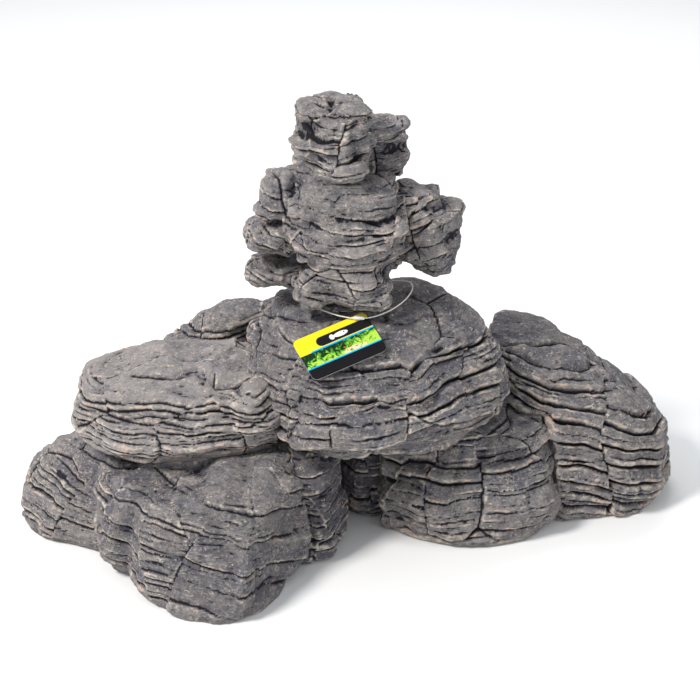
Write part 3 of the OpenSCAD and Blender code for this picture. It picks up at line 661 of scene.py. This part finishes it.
def carved(co, normals, look):
    """Height of the rock's relief over the smooth stone, in mm."""
    seed = look["seed"]
    bent = co + 9 * wobble(co, 34, seed + 51)
    near, far, who = cells(bent * np.array([1, 1, 0.8]), look["region"], seed + 54)
    part, border = who & np.uint32(0xFFFF), far - near
    s = bed_height(co, look, part)
    dip = np.array([*look["dip"], 1.0])
    dip /= np.linalg.norm(dip)
    # beds fade on faces that lie along them, and over the calm stretches
    ease = 1 - 0.5 * step(np.abs(normals @ dip), 0.65, 0.97)
    rough = 1.1 * noise(co, 70, seed + 17) + 0.35 * chance(part, seed + 60) - look["quiet"]
    calm = 0.2 + 0.8 * step(rough, -0.3, 0.1)
    # rounded lobes with creases between them, and blocks along the regions' borders
    squat = co * np.array([1, 1, 1.35])
    billow = np.sqrt(noise(squat, look["lobe"], seed + 12) ** 2 + 0.0008)
    height = look["lumps"] * (1.3 * noise(squat, 60, seed + 11) + 2.2 * billow - 0.62)
    small_billow = np.sqrt(noise(bent, 0.5 * look["lobe"], seed + 13) ** 2 + 0.0008)
    height += 0.8 * look["lumps"] * (small_billow - 0.2) * calm
    height += 1.3 * chance(part, seed + 15) * step(border, 0, 5)
    height -= 1.8 * np.exp(-((border / 1.3) ** 2)) * step(noise(co, 40, seed + 61), -0.1, 0.2)
    # bold beds, finer beds and thin laminae
    bold = beds(co, s + 11, seed + 41, *look["coarse"], look["wander"] * 1.3, look["bold"], 0.7)
    finer = beds(co, s, seed, look["thin"], look["thick"], look["ledge"], look["groove"], look["wander"],
                 look["cover"])
    laminae = beds(co, s * 1.03 + 3, seed + 21, 2.2, 5.0, 0.5, 0.9, 18, 0.0, 0.4)
    height += ease * (0.35 + 0.65 * calm) * bold + ease * calm * finer
    height += ease * step(noise(co, 45, seed + 22), -0.3, 0.15) * look["fine"] * laminae
    return height + 0.9 * noise(co, 7, seed + 23) + 0.6 * noise(co, 3.2, seed + 24)


def clear_of_tag(co, node, foot_low=163.2, under_card=0.2):
    """Keeps the spire's foot above the tag, and the roof below the plane that the card turns in."""
    if node == "spire_foot_stone":
        low = foot_low + 0.9 * noise(co, 9, 5)
        hang = np.where(co[:, 1] < 4, np.maximum(co[:, 2], low), co[:, 2])
        return np.stack([co[:, 0], co[:, 1], hang], 1)
    if node != "right_roof_slab":
        return co
    rel = co - HOLE
    above = rel @ OFF_SLOPE
    up = rel @ UP_SLOPE
    reach = np.hypot(rel[:, 0], up)
    near = (1 - step(reach, 60, 66)) * (up < 8) * (above < 14) * (above > -8)
    # the card's right-hand edge never turns past this line
    furthest = TURN + math.radians(30)
    near *= 1 - step(rel[:, 0] * math.cos(furthest) + up * math.sin(furthest), 7.5, 9.5)
    lowered = under_card - soft_over(under_card - above, 0.8)
    drop = (above - lowered) * near
    return co - drop[:, None] * OFF_SLOPE


def inside_box(co, room=3.0):
    """Holds the rock inside the CAD model's box, and eases it in near the box's sides."""
    low, high = np.array(CAD_LOW) / MM + 0.02, np.array(CAD_HIGH) / MM - 0.02
    over = np.maximum(co - (high - room), 0)
    under = np.maximum(low + room - co, 0)
    under[:, 2] = 0
    co = co - over + room * (1 - np.exp(-over / room)) + under - room * (1 - np.exp(-under / room))
    co[:, 2] = np.maximum(co[:, 2], 0)
    return co


def store_wear(skin, broad, look):
    """Stores the attributes that the rock's material reads: edge and hollow from how the surface bends, and
    a third from its broad swells plus the stone's painted lightness, for painted shade and painted light.
    """
    close, middle = skin.smooth(skin.co, 3), skin.smooth(skin.co, 12)
    wide = skin.smooth(middle, 40)
    sharp = np.sum((skin.co - close) * skin.normals(), 1) / look["voxel"]
    soft = np.sum((skin.co - middle) * broad, 1) / look["voxel"]
    swell = np.sum((middle - wide) * broad, 1) / look["voxel"]
    skin.store("edge", step(sharp, 0.04, 0.24) * 0.75 + step(soft, 0.15, 0.9) * 0.3)
    skin.store("hollow", step(-sharp, 0.05, 0.26) * 0.75 + step(-soft, 0.15, 0.9) * 0.4)
    skin.store("painted_light_shade", step(swell, -1.6, 1.2) + look["painted_lightness"])


def make_rock(node, look, material):
    """Turns a CAD stone into carved rock, and leaves its joint faces and the walls of its hollow plain."""
    mesh, walls = remeshed(node, look)
    skin = Skin(mesh)
    skin.co = skin.smooth(skin.co, 12)
    normals = skin.normals()
    inner = inside_share(skin, normals, walls)
    cut = skin.smooth(on_cut_faces(skin.co, normals, look, node), 3)
    free = (1 - np.clip(inner * 1.3, 0, 1)) * (1 - 0.9 * cut)
    grown = skin.co + (look["grow"] * free)[:, None] * normals
    skin.co = skin.co + free[:, None] * (planed(grown, look) - skin.co)
    broad = skin.smooth(skin.normals(), 5)
    broad /= np.linalg.norm(broad, axis=1)[:, None]
    height = carved(skin.co, broad, look)
    height = free * np.where(height > 0, look["rise"] * np.tanh(height / look["rise"]), height)
    skin.co = skin.co + height[:, None] * broad + free[:, None] * shaped(skin.co, look)
    skin.co = skin.smooth(skin.co, 1, 0.35)
    skin.co = inside_box(clear_of_tag(skin.co, node))
    store_wear(skin, broad, look)
    piece = bpy.data.objects.new("rock_" + node, mesh)
    SCENE.collection.objects.link(piece)
    mesh.materials.append(material)
    mesh.shade_smooth()
    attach(piece, "ornament")
    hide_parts(node)


rock = rock_material()
for stone, look in STONES.items():
    make_rock(stone, look, rock)


# ---- The swing tag's card ----
def card_material():
    """The printed face: a yellow band with a fish on a dark pill, a planted tank, and a black band."""
    n = Nodes("printed_card", 0.4, 0.1)
    place = n.tree.nodes.new("ShaderNodeUVMap")
    place.uv_map = "print"
    apart = n.tree.nodes.new("ShaderNodeSeparateXYZ")
    n.put(apart.inputs[0], place.outputs[0])
    # places on the card in mm, from its lower left corner
    x, y = n.times(apart.outputs[0], CARD_W), n.times(apart.outputs[1], CARD_H)
    black_top, scene_top = 8.6, 20.2
    pill_x, pill_y, pill_r = 18, 25.6, 3.7

    def band(value, low, high, soft=0.12):
        over = n.ramp(value, low - soft, low + soft)
        return n.times(over, n.ramp(value, high - soft, high + soft, 1.0, 0.0))

    def oval(cx, cy, rx, ry):
        a = n.math("DIVIDE", n.math("SUBTRACT", x, cx), rx)
        b = n.math("DIVIDE", n.math("SUBTRACT", y, cy), ry)
        far = n.math("SQRT", n.math("ADD", n.times(a, a), n.times(b, b)))
        return n.ramp(far, 0.94, 1.06, 1.0, 0.0)

    colour = n.mix(n.noise(3, 2), (0.86, 0.7, 0.015, 1), (0.92, 0.78, 0.03, 1))
    bar = n.times(band(y, pill_y - pill_r, pill_y + pill_r), n.ramp(x, pill_x - 0.1, pill_x + 0.1))
    pill = n.math("MAXIMUM", oval(pill_x, pill_y, pill_r, pill_r), bar)
    colour = n.mix(pill, colour, (0.012, 0.012, 0.014, 1))
    fish = n.math("MAXIMUM", oval(32, pill_y, 5.2, 1.9), oval(25.6, pill_y, 1.7, 2.1))
    fish = n.times(fish, n.math("SUBTRACT", 1.0, oval(34.6, 26.1, 0.5, 0.5)))
    colour = n.mix(fish, colour, (0.85, 0.85, 0.85, 1))
    # plants that grow lighter towards the right and the sand, a patch of sand, and three small fish
    leaf = n.noise(4.2, 4, 1.5)
    lift = n.math("ADD", leaf, n.times(n.math("SUBTRACT", 14.5, y), 0.028))
    lift = n.math("ADD", lift, n.times(n.math("SUBTRACT", x, CARD_W / 2), 0.004))
    plants = n.mix(n.ramp(lift, 0.42, 0.5), (0.008, 0.035, 0.012, 1), (0.09, 0.33, 0.03, 1))
    plants = n.mix(n.ramp(lift, 0.5, 0.6), plants, (0.45, 0.72, 0.08, 1))
    sand = n.times(oval(36, 10.8, 8.5, 2.4), n.ramp(leaf, 0.38, 0.55))
    plants = n.mix(sand, plants, (0.85, 0.68, 0.42, 1))
    for fish_x, fish_y in ((33.5, 13.4), (37.2, 12.2), (29.5, 14.6)):
        plants = n.mix(oval(fish_x, fish_y, 0.9, 0.45), plants, (0.75, 0.12, 0.02, 1))
    colour = n.mix(n.ramp(y, scene_top, scene_top + 0.2, 1.0, 0.0), colour, plants)
    blue, black = (0.0, 0.45, 0.85, 1), (0.01, 0.01, 0.012, 1)
    colour = n.mix(n.times(band(y, scene_top, scene_top + 1.1), n.ramp(x, 7.5, 8.5)), colour, blue)
    colour = n.mix(n.ramp(y, black_top, black_top + 0.2, 1.0, 0.0), colour, black)
    colour = n.mix(band(y, black_top, black_top + 0.9), colour, blue)
    colour = n.mix(n.attribute("printed"), (0.8, 0.8, 0.78, 1), colour)
    return n.finish(colour, n.bump(n.noise(1.2, 2), 0.15, 0.05), n.ramp(n.noise(6, 2), 0.3, 0.7, 0.38, 0.5))


def make_card():
    """The card's CAD shape with a print laid out in its own plane, in shares of its width and height."""
    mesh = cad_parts["tag_card"].data.copy()
    mesh.materials.clear()
    mesh.materials.append(card_material())
    skin = Skin(mesh)
    rel = skin.co - HOLE
    up = rel @ UP_SLOPE
    across = rel[:, 0] * math.cos(TURN) + up * math.sin(TURN)
    along = -rel[:, 0] * math.sin(TURN) + up * math.cos(TURN)
    shares = np.stack([(across + CARD_HOLE[0]) / CARD_W, (along + CARD_HOLE[1]) / CARD_H], 1)
    corners = np.empty(len(mesh.loops), np.int32)
    mesh.loops.foreach_get("vertex_index", corners)
    layout = mesh.uv_layers.new(name="print")
    layout.data.foreach_set("uv", shares[corners].astype(np.float32).ravel())
    # only the upper face is printed
    skin.store("printed", step(rel @ OFF_SLOPE, 1.6, 1.75))
    piece = bpy.data.objects.new("printed_card", mesh)
    SCENE.collection.objects.link(piece)
    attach(piece, "tag")
    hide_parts("tag_card")


make_card()

# ---- Plates, dowels, putty, and the tag's loop and barrel keep their CAD shapes ----
bare = plain_material("bare_resin", (0.26, 0.24, 0.21, 1), (0.4, 0.37, 0.33, 1), 6, 0.75)
putty = plain_material("bond_putty", (0.05, 0.05, 0.055, 1), (0.13, 0.125, 0.12, 1), 3, 0.85, relief=0.5)
nylon = plain_material("clear_nylon", (0.74, 0.72, 0.66, 1), (0.85, 0.83, 0.78, 1), 1.5, 0.25, 0.5, 0.05)
for name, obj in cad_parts.items():
    if name in STONES or name == "tag_card":
        continue
    finish = putty if "putty" in name else nylon if name in ("tag_barrel", "tag_loop") else bare
    obj.data.materials.clear()
    obj.data.materials.append(finish)


# ---- Floor and light ----
def area_light(name, place, size, power, colour=(1, 1, 1)):
    light = bpy.data.lights.new(name, "AREA")
    light.shape = "DISK"
    light.size = size
    light.energy = power
    light.color = colour
    obj = bpy.data.objects.new(name, light)
    SCENE.collection.objects.link(obj)
    obj.location = place
    look_at(obj, (0, 0, 0.1))


FLOOR_HALF = 20
FLOOR_CORNERS = [(-1, -1, 0), (1, -1, 0), (1, 1, 0), (-1, 1, 0)]
floor_mesh = bpy.data.meshes.new("floor")
floor_mesh.from_pydata([tuple(FLOOR_HALF * c for c in p) for p in FLOOR_CORNERS], [], [(0, 1, 2, 3)])
floor_mesh.materials.append(Nodes("floor", 0.9, 0.1).finish((0.9, 0.9, 0.9, 1)))
floor = bpy.data.objects.new("floor", floor_mesh)
SCENE.collection.objects.link(floor)
floor.location.z = -0.0002

world = bpy.data.worlds.new("studio")
SCENE.world = world
world.use_nodes = True
sky = world.node_tree.nodes["Background"]
sky.inputs["Color"].default_value = (0.92, 0.96, 1.0, 1)
sky.inputs["Strength"].default_value = 0.6
area_light("key", (-1.2, -0.7, 1.65), 0.5, 40, (1.0, 0.97, 0.94))
area_light("fill", (1.4, -1.2, 0.9), 1.2, 4)
area_light("rim", (0.1, 1.3, 1.5), 1.0, 12)
SCENE.view_settings.view_transform = "Standard"
